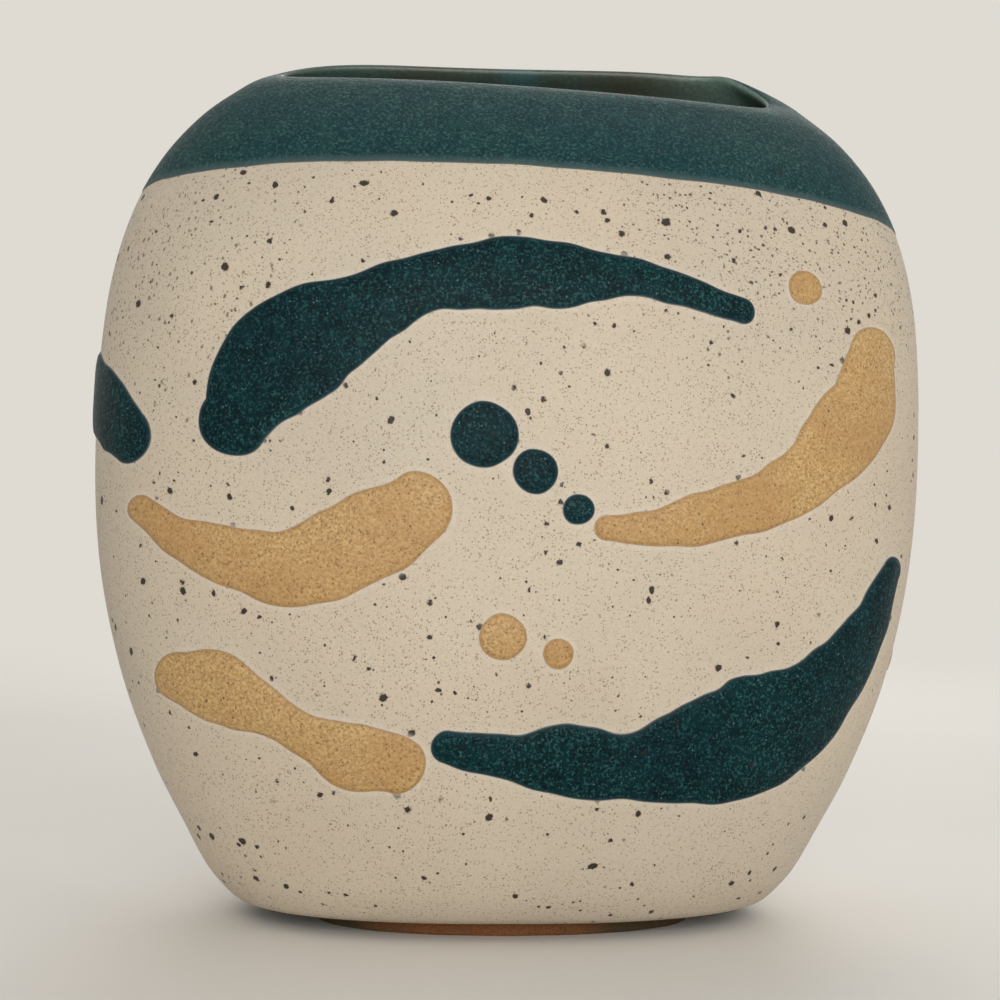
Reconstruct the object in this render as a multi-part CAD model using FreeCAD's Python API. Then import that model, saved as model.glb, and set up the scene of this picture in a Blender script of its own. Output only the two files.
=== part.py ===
import FreeCAD
import Part
import math
import os

# A hand-built stoneware pillow vase in millimetres: two curved clay walls and a floor on a
# small oval foot, a speckled cream glaze coat, a teal dipped collar over the lip, a dark
# glaze inside, and thick poured marks of teal and ochre glaze that stand proud of the cream.
# The front faces -Y, +X is to the right, +Z is up, and the origin is under the foot's middle.

# Driving sizes of the glazed body. The lip is higher at the back than at the front, its twist
# raises the back and lowers the front towards the right, and its right end rises to meet both.
body_width = 201.4
body_depth = 110.0
body_height = 210.2
lip_difference = 13.2
lip_twist = 1.5
lip_end_rise = 4.0
lip_lean = 2.4
foot_height = 3.4

# Clay and glaze thicknesses, and how far below its crest the lip starts to round over
wall_thickness = 5.0
floor_thickness = 7.0
coat_thickness = 0.8
liner_thickness = 0.8
lip_rounding = 3.0

# Foot pad
foot_width = 94.0
foot_depth = 56.0
foot_edge_rounding = 0.8

# Teal collar: how far below the highest point of the lip it ends in the middle, the fall of its
# edge from left to right, and how far the edge sinks on its way from the middle to both sides
collar_height = 36.8
collar_fall = 3.0
collar_bow = 4.7

# Poured marks: how far a thick and a thin one stand above the cream
pour_relief = 0.9
drop_relief = 0.7

# A drop is a little lower than it is wide
drop_height_share = 0.9

# How far every cutting solid runs past what it cuts
cut_overrun = 20.0

# The oval plan is a superellipse, a little squarer than an ellipse
plan_power_share = 2.35

# The lip rises at its right end only, the more steeply the higher this power is
end_power_share = 12

# Outer form from the underside of the walls up: share of height, of half width, of half depth
form_shares = [
    (0.000, 0.618, 0.585),
    (0.009, 0.649, 0.642),
    (0.028, 0.687, 0.712),
    (0.047, 0.717, 0.758),
    (0.086, 0.761, 0.822),
    (0.158, 0.838, 0.902),
    (0.265, 0.923, 0.971),
    (0.385, 0.978, 1.000),
    (0.531, 1.000, 1.000),
    (0.675, 0.989, 0.956),
    (0.771, 0.951, 0.868),
    (0.845, 0.885, 0.749),
    (0.903, 0.794, 0.595),
    (0.946, 0.687, 0.433),
    (0.984, 0.582, 0.270),
    (1.015, 0.492, 0.148),
]

# Levels of the rings that the wall is drawn through, as shares of its height below the lip
wall_level_shares = [0.0, 0.03, 0.08, 0.16, 0.27, 0.40, 0.54, 0.68, 0.80, 0.89, 0.955, 1.0]
slab_level_shares = [0.0, 0.15, 0.5, 1.0]
lip_quarter_steps = 4
ring_points = 24
cap_steps = 4

# Glaze marks of the front, back and sides. Each trail is drawn on the side that faces the
# given angle, in degrees to the right of the front, as stations along its middle line:
# share of half width across, share of body height up, and the shares of half width that it
# reaches to its left and to its right on the way.
trail_shares = {
    "pour_teal_arch": (0, [
        (-0.66, 0.548, 0.070, 0.080), (-0.60, 0.590, 0.115, 0.105), (-0.50, 0.634, 0.110, 0.120),
        (-0.38, 0.667, 0.070, 0.085), (-0.25, 0.690, 0.065, 0.060), (-0.11, 0.706, 0.070, 0.080),
        (0.03, 0.712, 0.055, 0.085), (0.17, 0.707, 0.040, 0.045), (0.31, 0.694, 0.032, 0.030),
        (0.44, 0.676, 0.026, 0.026),
    ]),
    "pour_ochre_arch": (0, [
        (-0.86, 0.452, 0.028, 0.028), (-0.77, 0.424, 0.040, 0.038), (-0.67, 0.408, 0.055, 0.062),
        (-0.56, 0.403, 0.060, 0.090), (-0.45, 0.412, 0.080, 0.095), (-0.35, 0.432, 0.095, 0.085),
        (-0.27, 0.458, 0.075, 0.070),
    ]),
    "pour_ochre_crescent": (0, [
        (0.79, 0.640, 0.060, 0.070), (0.76, 0.588, 0.085, 0.095), (0.69, 0.540, 0.080, 0.100),
        (0.60, 0.502, 0.060, 0.080), (0.49, 0.474, 0.055, 0.060), (0.37, 0.455, 0.045, 0.065),
        (0.25, 0.445, 0.034, 0.036), (0.14, 0.444, 0.026, 0.026),
    ]),
    "pour_teal_crescent": (0, [
        (0.86, 0.405, 0.030, 0.030), (0.80, 0.350, 0.055, 0.060), (0.72, 0.298, 0.085, 0.080),
        (0.61, 0.252, 0.110, 0.115), (0.48, 0.219, 0.120, 0.150), (0.34, 0.203, 0.090, 0.120),
        (0.20, 0.197, 0.070, 0.075), (0.06, 0.199, 0.060, 0.085), (-0.07, 0.206, 0.042, 0.050),
        (-0.19, 0.217, 0.030, 0.030),
    ]),
    "pour_ochre_wave": (0, [
        (-0.76, 0.276, 0.060, 0.055), (-0.68, 0.268, 0.075, 0.070), (-0.58, 0.248, 0.050, 0.050),
        (-0.48, 0.222, 0.045, 0.040), (-0.39, 0.204, 0.070, 0.065), (-0.30, 0.200, 0.060, 0.065),
    ]),
    "pour_teal_left_side": (-80, [
        (-0.34, 0.604, 0.035, 0.035), (-0.22, 0.600, 0.065, 0.070), (-0.08, 0.584, 0.085, 0.090),
        (0.05, 0.556, 0.075, 0.080), (0.13, 0.530, 0.055, 0.055),
    ]),
    "pour_ochre_right_side": (80, [
        (0.06, 0.300, 0.035, 0.035), (0.20, 0.318, 0.060, 0.055), (0.36, 0.346, 0.070, 0.065),
        (0.48, 0.362, 0.060, 0.060),
    ]),
    "pour_teal_back": (180, [
        (-0.66, 0.520, 0.060, 0.065), (-0.56, 0.548, 0.100, 0.095), (-0.42, 0.572, 0.105, 0.115),
        (-0.26, 0.582, 0.070, 0.080), (-0.10, 0.578, 0.060, 0.075), (0.06, 0.562, 0.050, 0.050),
        (0.20, 0.540, 0.035, 0.035), (0.32, 0.518, 0.028, 0.028),
    ]),
    "pour_ochre_back": (180, [
        (-0.34, 0.328, 0.030, 0.030), (-0.20, 0.343, 0.050, 0.050), (-0.05, 0.352, 0.060, 0.075),
        (0.11, 0.349, 0.085, 0.090), (0.27, 0.334, 0.080, 0.070), (0.42, 0.306, 0.060, 0.060),
        (0.56, 0.276, 0.050, 0.050),
    ]),
}

# Round drops of glaze: share of half width across, of body height up, of half width in radius
drop_shares = {
    "drops_teal": (0, [(-0.13, 0.535, 0.068), (-0.02, 0.500, 0.044), (0.075, 0.462, 0.030)]),
    "drops_ochre": (0, [(-0.08, 0.330, 0.046), (0.04, 0.315, 0.028), (0.60, 0.708, 0.038)]),
    "drops_teal_back": (180, [(0.34, 0.440, 0.048), (0.46, 0.412, 0.032)]),
}

half_width = body_width / 2
half_depth = body_depth / 2
form_height = body_height - foot_height
lip_middle = body_height - lip_difference / 2
half_wall = wall_thickness / 2
wall_middle = -coat_thickness - half_wall
clay_crest = lip_middle - coat_thickness
floor_top = foot_height + floor_thickness
collar_level = body_height - collar_height


def form_value(height, column):
    """Cubic through the form table: half width for column 1, half depth for column 2."""
    share = (height - foot_height) / form_height
    last = len(form_shares) - 2
    index = 0
    while index < last and share > form_shares[index + 1][0]:
        index += 1
    rows = [form_shares[max(0, min(last + 1, index + step))] for step in (-1, 0, 1, 2)]
    start, end = rows[1], rows[2]
    span = end[0] - start[0]
    place = (share - start[0]) / span
    slopes = []
    for before, after in ((rows[0], rows[2]), (rows[1], rows[3])):
        slopes.append((after[column] - before[column]) / (after[0] - before[0]) * span)
    squared = place ** 2
    cubed = place ** 3
    value = start[column] * (2 * cubed - 3 * squared + 1)
    value += slopes[0] * (cubed - 2 * squared + place)
    value += end[column] * (3 * squared - 2 * cubed)
    value += slopes[1] * (cubed - squared)
    return value * (half_width if column == 1 else half_depth)


def plan_direction(angle):
    """Point of the unit superellipse at an angle."""
    across, along = math.cos(angle), math.sin(angle)
    power = plan_power_share
    reach = (abs(across) ** power + abs(along) ** power) ** (-1 / power)
    return across * reach, along * reach


def lip_slant(across, along):
    """How far the lip stands above its middle level at a point of the unit superellipse."""
    slant = lip_difference / 2 * along * (3 - along ** 2) / 2
    slant += lip_twist * across * along
    slant += lip_end_rise * max(across, 0) ** end_power_share
    return slant


def oval(half_across, half_along, level, lip_share=0.0):
    """Closed oval curve that starts at the back; its lip share is how much of the lip's slant it has."""
    points = []
    for step in range(ring_points):
        across, along = plan_direction(math.pi / 2 + 2 * math.pi * step / ring_points)
        height = level + lip_share * lip_slant(across, along)
        lean = lip_lean * ((height - foot_height) / form_height) ** 3
        points.append(FreeCAD.Vector(half_across(height) * across + lean, half_along(height) * along, height))
    curve = Part.BSplineCurve()
    places = [step / ring_points for step in range(ring_points + 1)]
    curve.interpolate(Points=points, PeriodicFlag=True, Parameters=places)
    return Part.Wire([curve.toShape()])


def ring(level, lip_share, offset):
    """Oval at a sideways offset from the outside of the glazed form."""
    return oval(
        lambda height: form_value(height, 1) + offset,
        lambda height: form_value(height, 2) + offset,
        level,
        lip_share,
    )


def wall_rings(side, cover):
    """Rings of one face of the wall, from the floor slab up to the crest of the lip.

    side is 1 outside and -1 inside, cover is the thickness of glaze laid on that face.
    """
    reach = half_wall + cover
    crest = clay_crest + cover
    shoulder = crest - lip_rounding - cover
    lowest = floor_top if side > 0 else floor_top + cover
    rings = []
    for share in wall_level_shares:
        level = lowest + share * (shoulder - lowest)
        rings.append(ring(level, share, wall_middle + side * reach))
    for step in range(1, lip_quarter_steps + 1):
        turn = math.pi / 2 * step / lip_quarter_steps
        level = shoulder + (crest - shoulder) * math.sin(turn)
        rings.append(ring(level, 1.0, wall_middle + side * reach * math.cos(turn)))
    return rings


def slab_rings(cover):
    """Rings round the edge of the floor slab, from its underside up to the wall."""
    rings = []
    for share in slab_level_shares:
        level = foot_height + share * floor_thickness
        rings.append(ring(level, 0.0, wall_middle + half_wall + cover))
    return rings


def skin(rings, straight=False):
    """Smooth face through rings, or a straight one between two."""
    return Part.makeLoft(rings, False, straight).Faces[0]


def solid_of(faces):
    """Solid closed in by faces that share their edges."""
    shell = Part.Shell(faces)
    shell.sewShape()
    solid = Part.Solid(Part.Shell(shell.Faces))
    solid.fix(0.0, 0.0, 0.0)
    return solid


def outer_band(near_cover, far_cover):
    """Layer on the outside of the pot, from the underside of the slab up to the crest."""
    near, near_slab = wall_rings(1, near_cover), slab_rings(near_cover)
    far, far_slab = wall_rings(1, far_cover), slab_rings(far_cover)
    return solid_of([
        skin(near_slab),
        skin(near),
        skin([near[-1], far[-1]], True),
        skin(far),
        skin(far_slab),
        skin([far_slab[0], near_slab[0]], True),
    ])


def clay_walls():
    """The clay wall all round, standing on the floor slab."""
    outside = wall_rings(1, 0.0)
    inside = wall_rings(-1, 0.0)
    return solid_of([skin(outside), skin(inside), skin([inside[0], outside[0]], True)])


def floor_slab():
    """The oval slab that closes the pot below."""
    return Part.makeLoft(slab_rings(0.0), True, False)


def inner_glaze():
    """The glaze that covers the inside of the walls and the floor."""
    near = wall_rings(-1, 0.0)
    far = wall_rings(-1, liner_thickness)
    return solid_of([
        skin(near),
        skin([near[-1], far[-1]], True),
        skin(far),
        Part.Face(far[0]),
        Part.Face(near[0]),
    ])


def foot_pad():
    """The small bare oval that the pot stands on, with its lower edge softened."""
    sizes = [(foot_edge_rounding, 0.0), (0.0, foot_edge_rounding), (0.0, foot_height)]
    ovals = []
    for inset, level in sizes:
        ovals.append(oval(
            lambda height: foot_width / 2 - inset,
            lambda height: foot_depth / 2 - inset,
            level,
        ))
    return Part.makeLoft(ovals, True, True)


def above_collar():
    """Everything above the bowed line to which the pot was dipped in the collar glaze."""
    reach = half_width + cut_overrun
    fall = collar_fall / 2 * reach / half_width
    bow = collar_bow * (reach / half_width) ** 2
    top = body_height + cut_overrun
    left = FreeCAD.Vector(-reach, -reach, collar_level + fall - bow)
    right = FreeCAD.Vector(reach, -reach, collar_level - fall - bow)
    edge = Part.BezierCurve()
    edge.setPoles([left, FreeCAD.Vector(0, -reach, collar_level + bow), right])
    above = [right, FreeCAD.Vector(reach, -reach, top), FreeCAD.Vector(-reach, -reach, top), left]
    outline = Part.Wire([edge.toShape()] + Part.makePolygon(above).Edges)
    return Part.Face(outline).extrude(FreeCAD.Vector(0, 2 * reach, 0))


def front_half():
    """Everything in front of the plane on which the two clay walls are joined."""
    reach = half_width + cut_overrun
    corner = FreeCAD.Vector(-reach, -reach, -cut_overrun)
    return Part.makeBox(2 * reach, reach, body_height + 2 * cut_overrun, corner)


def outline_prism(points, facing):
    """Solid behind a smooth closed outline drawn on the side that faces an angle in degrees."""
    turn = math.radians(facing)
    across = FreeCAD.Vector(math.cos(turn), math.sin(turn), 0)
    outward = FreeCAD.Vector(math.sin(turn), -math.cos(turn), 0)
    reach = half_width + cut_overrun
    curve = Part.BSplineCurve()
    curve.interpolate(
        Points=[across * x + outward * reach + FreeCAD.Vector(0, 0, z) for x, z in points],
        PeriodicFlag=True,
    )
    return Part.Face(Part.Wire([curve.toShape()])).extrude(outward * -reach)


def arc_points(centre, radii, first_turn, last_turn, steps):
    """Points at even turns along a stretch of an oval, without its two ends."""
    points = []
    for step in range(1, steps):
        turn = first_turn + (last_turn - first_turn) * step / steps
        points.append((centre[0] + radii[0] * math.cos(turn), centre[1] + radii[1] * math.sin(turn)))
    return points


def trail_outline(stations):
    """Points round a trail: along its left, round its end, back along its right, round its start."""
    places = [(x * half_width, z * body_height) for x, z, _, _ in stations]
    headings = []
    for index in range(len(places)):
        before = places[max(index - 1, 0)]
        after = places[min(index + 1, len(places) - 1)]
        headings.append(math.atan2(after[1] - before[1], after[0] - before[0]))
    left = []
    right = []
    for place, heading, station in zip(places, headings, stations):
        for side, reach, points in ((1, station[2], left), (-1, station[3], right)):
            sideways = heading + side * math.pi / 2
            radius = reach * half_width
            points.append((place[0] + radius * math.cos(sideways), place[1] + radius * math.sin(sideways)))
    caps = []
    for index, first_turn in ((-1, math.pi / 2), (0, -math.pi / 2)):
        radius = (stations[index][2] + stations[index][3]) / 2 * half_width
        turn = headings[index] + first_turn
        caps.append(arc_points(places[index], (radius, radius), turn, turn - math.pi, cap_steps))
    return left + caps[0] + right[::-1] + caps[1]


def drop_outline(place):
    """Points round a drop, a little wider than high."""
    centre = (place[0] * half_width, place[1] * body_height)
    radius = place[2] * half_width
    radii = (radius, radius * drop_height_share)
    first_point = (centre[0] + radii[0], centre[1])
    return [first_point] + arc_points(centre, radii, 0.0, 2 * math.pi, 2 * cap_steps)


def glaze_marks():
    """The raised marks by name, each cut from a layer that lies on the coat."""
    marks = {}
    thick_layer = outer_band(coat_thickness, coat_thickness + pour_relief)
    for name, (facing, stations) in trail_shares.items():
        prism = outline_prism(trail_outline(stations), facing)
        marks[name] = thick_layer.common(prism)
    thin_layer = outer_band(coat_thickness, coat_thickness + drop_relief)
    for name, (facing, places) in drop_shares.items():
        prisms = [outline_prism(drop_outline(place), facing) for place in places]
        marks[name] = Part.makeCompound([thin_layer.common(prism) for prism in prisms])
    return marks


def pieces():
    """Every piece of the vase by name."""
    walls = clay_walls()
    half = front_half()
    coat = outer_band(0.0, coat_thickness)
    collar = above_collar()
    parts = {
        "front_wall": walls.common(half),
        "back_wall": walls.cut(half),
        "floor_slab": floor_slab(),
        "foot_pad": foot_pad(),
        "cream_coat": coat.cut(collar),
        "teal_collar": coat.common(collar),
        "inner_glaze": inner_glaze(),
    }
    parts.update(glaze_marks())
    return parts


def main():
    """Writes each piece and prints its size as a check."""
    os.makedirs("parts", exist_ok=True)
    for name, shape in pieces().items():
        solids = shape.Solids
        body = solids[0] if len(solids) == 1 else Part.makeCompound(solids)
        body.exportStep("parts/" + name + ".step")
        box = body.BoundBox
        print(name, len(solids), body.isValid(), round(body.Volume, 1),
              round(box.XLength, 1), round(box.YLength, 1), round(box.ZLength, 1))


main()
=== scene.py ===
"""A stoneware pillow vase dressed over its CAD frame: clay, glaze coats, poured marks and studio."""

import sys
import logging
import math
from contextlib import contextmanager
from dataclasses import dataclass, field
from enum import Enum
from typing import Callable, Iterator

import bpy
import numpy as np
from mathutils import Matrix, Vector
from mathutils.kdtree import KDTree


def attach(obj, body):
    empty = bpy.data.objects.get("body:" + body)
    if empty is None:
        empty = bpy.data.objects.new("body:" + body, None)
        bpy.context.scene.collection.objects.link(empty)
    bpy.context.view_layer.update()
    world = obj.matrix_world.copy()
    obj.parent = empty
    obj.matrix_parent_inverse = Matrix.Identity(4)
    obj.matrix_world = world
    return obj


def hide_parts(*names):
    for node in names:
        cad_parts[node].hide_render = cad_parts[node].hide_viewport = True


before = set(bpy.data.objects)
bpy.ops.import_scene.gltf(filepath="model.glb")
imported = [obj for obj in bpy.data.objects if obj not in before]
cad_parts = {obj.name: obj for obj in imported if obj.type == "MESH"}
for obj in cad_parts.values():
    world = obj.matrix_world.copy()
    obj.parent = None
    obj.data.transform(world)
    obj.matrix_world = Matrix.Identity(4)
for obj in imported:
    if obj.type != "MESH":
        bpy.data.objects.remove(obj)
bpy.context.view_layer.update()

BODY = "root"
MM = 0.001
WIDE, DEEP = 1, 2

Array = np.ndarray
Colour = tuple[float, float, float, float]
Material = bpy.types.Material
Node = bpy.types.Node
Piece = bpy.types.Object
Socket = bpy.types.NodeSocket
Triple = tuple[float, float, float]
Place = Callable[[Array, Array], Array]

log = logging.getLogger("pillow_vase")


class GlazeColour(Enum):
    """The two glazes that the raised marks are poured in."""

    TEAL = "teal"
    OCHRE = "ochre"


def linear(red: int, green: int, blue: int) -> Colour:
    """Scene colour of a display colour.

    Args:
        red: Display red, 0 to 255.
        green: Display green, 0 to 255.
        blue: Display blue, 0 to 255.

    Returns:
        The linear colour with full alpha.
    """
    shares = [value / 255 for value in (red, green, blue)]
    parts = [share / 12.92 if share <= 0.04045 else ((share + 0.055) / 1.055) ** 2.4 for share in shares]
    return (parts[0], parts[1], parts[2], 1.0)


def waves(along: Array, rows: tuple[tuple[float, float | Array, float], ...]) -> Array:
    """Sum of sine waves.

    Args:
        along: Where each wave is read.
        rows: Rate, start and level of each wave.

    Returns:
        The sum at each place.
    """
    return sum(level * np.sin(rate * along + start) for rate, start, level in rows)


def curve(share: Array, start: Array, end: Array, first: Array, last: Array) -> Array:
    """Smooth way from one value to another.

    Args:
        share: How far along the way, 0 to 1.
        start: Value at its start.
        end: Value at its end.
        first: Slope at its start.
        last: Slope at its end.

    Returns:
        The values on the way.
    """
    value = start * (2 * share**3 - 3 * share**2 + 1) + first * (share**3 - 2 * share**2 + share)
    return value + end * (3 * share**2 - 2 * share**3) + last * (share**3 - share**2)


# ---- form of the pot ----


@dataclass(frozen=True)
class PotForm:
    """The outer form that every coat follows, in metres, with its lip and its wall.

    The table holds shares: of the body height, and of the half width and half depth at that height.
    """

    half_width: float = 100.7 * MM
    half_depth: float = 55 * MM
    height: float = 210.2 * MM
    foot_height: float = 3.4 * MM
    lip_difference: float = 13.2 * MM
    lip_twist: float = 1.5 * MM
    lip_end_rise: float = 4 * MM
    lip_lean: float = 2.4 * MM
    lip_rounding: float = 3 * MM
    wall: float = 5 * MM
    floor: float = 7 * MM
    coat: float = 0.8 * MM
    liner: float = 0.8 * MM
    collar_height: float = 36.8 * MM
    collar_fall: float = 3 * MM
    collar_bow: float = 4.7 * MM
    plan_power: float = 2.35
    end_power: float = 12
    unevenness: float = 0.16 * MM
    settle_rounds: int = 40
    slope_step: float = 0.2 * MM
    table: tuple[Triple, ...] = (
        (0.000, 0.618, 0.585), (0.009, 0.649, 0.642), (0.028, 0.687, 0.712), (0.047, 0.717, 0.758),
        (0.086, 0.761, 0.822), (0.158, 0.838, 0.902), (0.265, 0.923, 0.971), (0.385, 0.978, 1.000),
        (0.531, 1.000, 1.000), (0.675, 0.989, 0.956), (0.771, 0.951, 0.868), (0.845, 0.885, 0.749),
        (0.903, 0.794, 0.595), (0.946, 0.687, 0.433), (0.984, 0.582, 0.270), (1.015, 0.492, 0.148),
    )

    @property
    def shoulder(self) -> float:
        """Level at which the lip begins to round over, midway between front and back."""
        return self.height - self.lip_difference / 2 - self.coat - self.lip_rounding

    def climb(self, z: Array) -> Array:
        """Shares of the body height at given heights."""
        return (z - self.foot_height) / (self.height - self.foot_height)

    def lean(self, z: Array) -> Array:
        """How far the form leans to the right at given heights."""
        return self.lip_lean * self.climb(z) ** 3

    def half(self, z: Array, column: int) -> Array:
        """Half width or half depth.

        Args:
            z: Heights above the ground.
            column: WIDE or DEEP.

        Returns:
            The half size at each height.
        """
        rows = np.array(self.table)
        share = self.climb(z)
        index = np.clip(np.searchsorted(rows[:, 0], share, side="left") - 1, 0, len(rows) - 2)
        before, after = rows[np.maximum(index - 1, 0)], rows[np.minimum(index + 2, len(rows) - 1)]
        start, end = rows[index], rows[index + 1]
        span = end[:, 0] - start[:, 0]
        first = (end[:, column] - before[:, column]) / (end[:, 0] - before[:, 0]) * span
        last = (after[:, column] - start[:, column]) / (after[:, 0] - start[:, 0]) * span
        value = curve((share - start[:, 0]) / span, start[:, column], end[:, column], first, last)
        return value * (self.half_width if column == WIDE else self.half_depth)

    def plan(self, angle: Array) -> tuple[Array, Array]:
        """Points of the unit oval.

        Args:
            angle: Plan angles.

        Returns:
            Their parts across and along.
        """
        across, along = np.cos(angle), np.sin(angle)
        reach = (np.abs(across) ** self.plan_power + np.abs(along) ** self.plan_power) ** (-1 / self.plan_power)
        return across * reach, along * reach

    def slant(self, angle: Array) -> Array:
        """Level of the slanted lip.

        Args:
            angle: Plan angles.

        Returns:
            How far the lip is above its middle level.
        """
        across, along = self.plan(angle)
        slant = self.lip_difference / 2 * along * (3 - along**2) / 2 + self.lip_twist * across * along
        return slant + self.lip_end_rise * np.maximum(across, 0) ** self.end_power

    def wobble(self, angle: Array, z: Array) -> Array:
        """The slight unevenness of the hand-built wall.

        Args:
            angle: Plan angles.
            z: Heights, one for each angle.

        Returns:
            Offsets from the true face, always inwards.
        """
        rows = ((3, 41 * z + 0.7, 1.0), (5, 2.1 - 67 * z, 0.7), (9, 103 * z, 0.6), (2, 139 * z + 1.3, 0.5))
        return self.unevenness * (waves(angle, rows) / sum(level for _, _, level in rows) - 1)

    def outside(self, angle: Array, z: Array, offset: float | Array = 0.0) -> Array:
        """Points on the outer face.

        Args:
            angle: Plan angles.
            z: Heights, one for each angle.
            offset: Distance outwards from the face.

        Returns:
            One row of x, y and z for each angle.
        """
        across, along = self.plan(angle)
        x = (self.half(z, WIDE) + offset) * across + self.lean(z)
        return np.stack([x, (self.half(z, DEEP) + offset) * along, z], -1)

    def lip(self, angle: Array, turn: Array, cover: float) -> Array:
        """Points on the rounded lip.

        Args:
            angle: Plan angles.
            turn: 0 where the lip leaves the outer face, 90 degrees at its crest, 180 degrees inside.
            cover: Thickness of the glaze over the clay.

        Returns:
            One row of x, y and z for each angle.
        """
        reach = self.wall / 2 + cover
        z = self.shoulder + self.slant(angle) + (self.lip_rounding + cover) * np.sin(turn)
        return self.outside(angle, z, -self.coat - self.wall / 2 + reach * np.cos(turn))

    def collar_line(self, x: Array) -> Array:
        """Height of the dipped collar's lower edge at given places across."""
        share = x / self.half_width
        return self.height - self.collar_height - self.collar_fall / 2 * share - self.collar_bow * share**2

    def settle(self, across: Array, z: Array, facing: float) -> tuple[Array, Array]:
        """Lays flat points drawn on one side of the pot onto its outer face.

        Args:
            across: Places to the right of the side's middle, as its viewer sees them.
            z: Heights.
            facing: Side that is faced, in degrees to the right of the front.

        Returns:
            The points on the face and the face's outward directions there.
        """
        turn = math.radians(facing)
        side = (math.cos(turn), math.sin(turn))
        out = (math.sin(turn), -math.cos(turn))
        wide, deep, lean = self.half(z, WIDE), self.half(z, DEEP), self.lean(z)
        near, far = np.zeros_like(across), np.full_like(across, 2 * self.half_width)
        for _ in range(self.settle_rounds):
            middle = (near + far) / 2
            x, y = (side[axis] * across + out[axis] * middle for axis in range(2))
            inside = np.abs((x - lean) / wide) ** self.plan_power + np.abs(y / deep) ** self.plan_power < 1
            near, far = np.where(inside, middle, near), np.where(inside, far, middle)
        x, y = (side[axis] * across + out[axis] * near for axis in range(2))
        x = x - lean
        slope_x = np.sign(x) * np.abs(x / wide) ** (self.plan_power - 1) / wide
        slope_y = np.sign(y) * np.abs(y / deep) ** (self.plan_power - 1) / deep
        step = self.slope_step
        grow_x, grow_y = ((self.half(z + step, part) - self.half(z - step, part)) / (2 * step) for part in (WIDE, DEEP))
        slope_z = -slope_x * x / wide * grow_x - slope_y * y / deep * grow_y
        normal = np.stack([slope_x, slope_y, slope_z], -1)
        return np.stack([x + lean, y, z], -1), normal / np.linalg.norm(normal, axis=1)[:, None]


# ---- modelling ----


def pick_only(piece: Piece) -> None:
    """Makes a piece the active one and the only one selected.

    Args:
        piece: The piece.
    """
    bpy.ops.object.select_all(action="DESELECT")
    piece.select_set(True)
    bpy.context.view_layer.objects.active = piece


@contextmanager
def editing(piece: Piece, action: str) -> Iterator[None]:
    """Edit mode on one piece.

    Args:
        piece: The piece.
        action: SELECT for all of it selected at first, DESELECT for none.

    Returns:
        A context in which mesh operators act on the piece.
    """
    pick_only(piece)
    bpy.ops.object.mode_set(mode="EDIT")
    bpy.ops.mesh.select_all(action=action)
    yield
    bpy.ops.object.mode_set(mode="OBJECT")


def points_of(piece: Piece) -> Array:
    """Places of a piece's points.

    Args:
        piece: The piece.

    Returns:
        One row of x, y and z for each point.
    """
    flat = np.empty(len(piece.data.vertices) * 3)
    piece.data.vertices.foreach_get("co", flat)
    return flat.reshape(-1, 3)


def set_points(piece: Piece, points: Array) -> None:
    """Moves all points of a piece to new places."""
    piece.data.vertices.foreach_set("co", np.ascontiguousarray(points, dtype=np.float32).ravel())
    piece.data.update()


def set_field(piece: Piece, name: str, values: Array) -> None:
    """Stores one number for each point of a piece, for its material to read."""
    layer = piece.data.attributes.new(name, "FLOAT", "POINT")
    layer.data.foreach_set("value", np.ascontiguousarray(values, dtype=np.float32))


def new_tube(name: str, round_count: int, ring_count: int, place: Place) -> Piece:
    """Open tube, extruded ring by ring from a circle and then given its form.

    Args:
        name: Name of the piece.
        round_count: Points in each ring.
        ring_count: Number of rings.
        place: Gives the points for plan angles and for ring numbers.

    Returns:
        The tube.
    """
    bpy.ops.object.select_all(action="DESELECT")
    bpy.ops.mesh.primitive_circle_add(vertices=round_count, radius=10.0, fill_type="NOTHING")
    tube = bpy.context.object
    tube.name = tube.data.name = name
    with editing(tube, "SELECT"):
        for _ in range(ring_count - 1):
            bpy.ops.mesh.extrude_region_move(TRANSFORM_OT_translate={"value": (0, 0, 1)})
        bpy.ops.mesh.select_all(action="SELECT")
        bpy.ops.mesh.normals_make_consistent(inside=False)
    flat = points_of(tube)
    set_points(tube, place(np.arctan2(flat[:, 1], flat[:, 0]), np.round(flat[:, 2])))
    return tube


def thicken(piece: Piece, thickness: float) -> None:
    """Gives an open shell a thickness inwards from its faces and shades it smooth.

    Args:
        piece: The shell.
        thickness: Its thickness.
    """
    solid = piece.modifiers.new("thickness", "SOLIDIFY")
    solid.thickness = thickness
    solid.offset = -1.0
    pick_only(piece)
    bpy.ops.object.modifier_apply(modifier=solid.name)
    bpy.ops.object.shade_smooth()


def face_out(piece: Piece) -> None:
    """Turns the faces of a closed piece outwards and shades it smooth.

    Args:
        piece: The piece.
    """
    with editing(piece, "SELECT"):
        bpy.ops.mesh.normals_make_consistent(inside=False)
    bpy.ops.object.shade_smooth()


def seat(piece: Piece, material: Material, slot: str, *nodes: str) -> None:
    """Dresses a piece and ties it to the frame.

    Args:
        piece: The piece.
        material: Its finish.
        slot: Material slot of the record that it stands for; not used.
        nodes: CAD nodes that it replaces.
    """
    piece.data.materials.clear()
    piece.data.materials.append(material)
    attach(piece, BODY)
    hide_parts(*nodes)
    log.info("%s: %d faces", piece.name, len(piece.data.polygons))


# ---- shader effects ----


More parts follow.
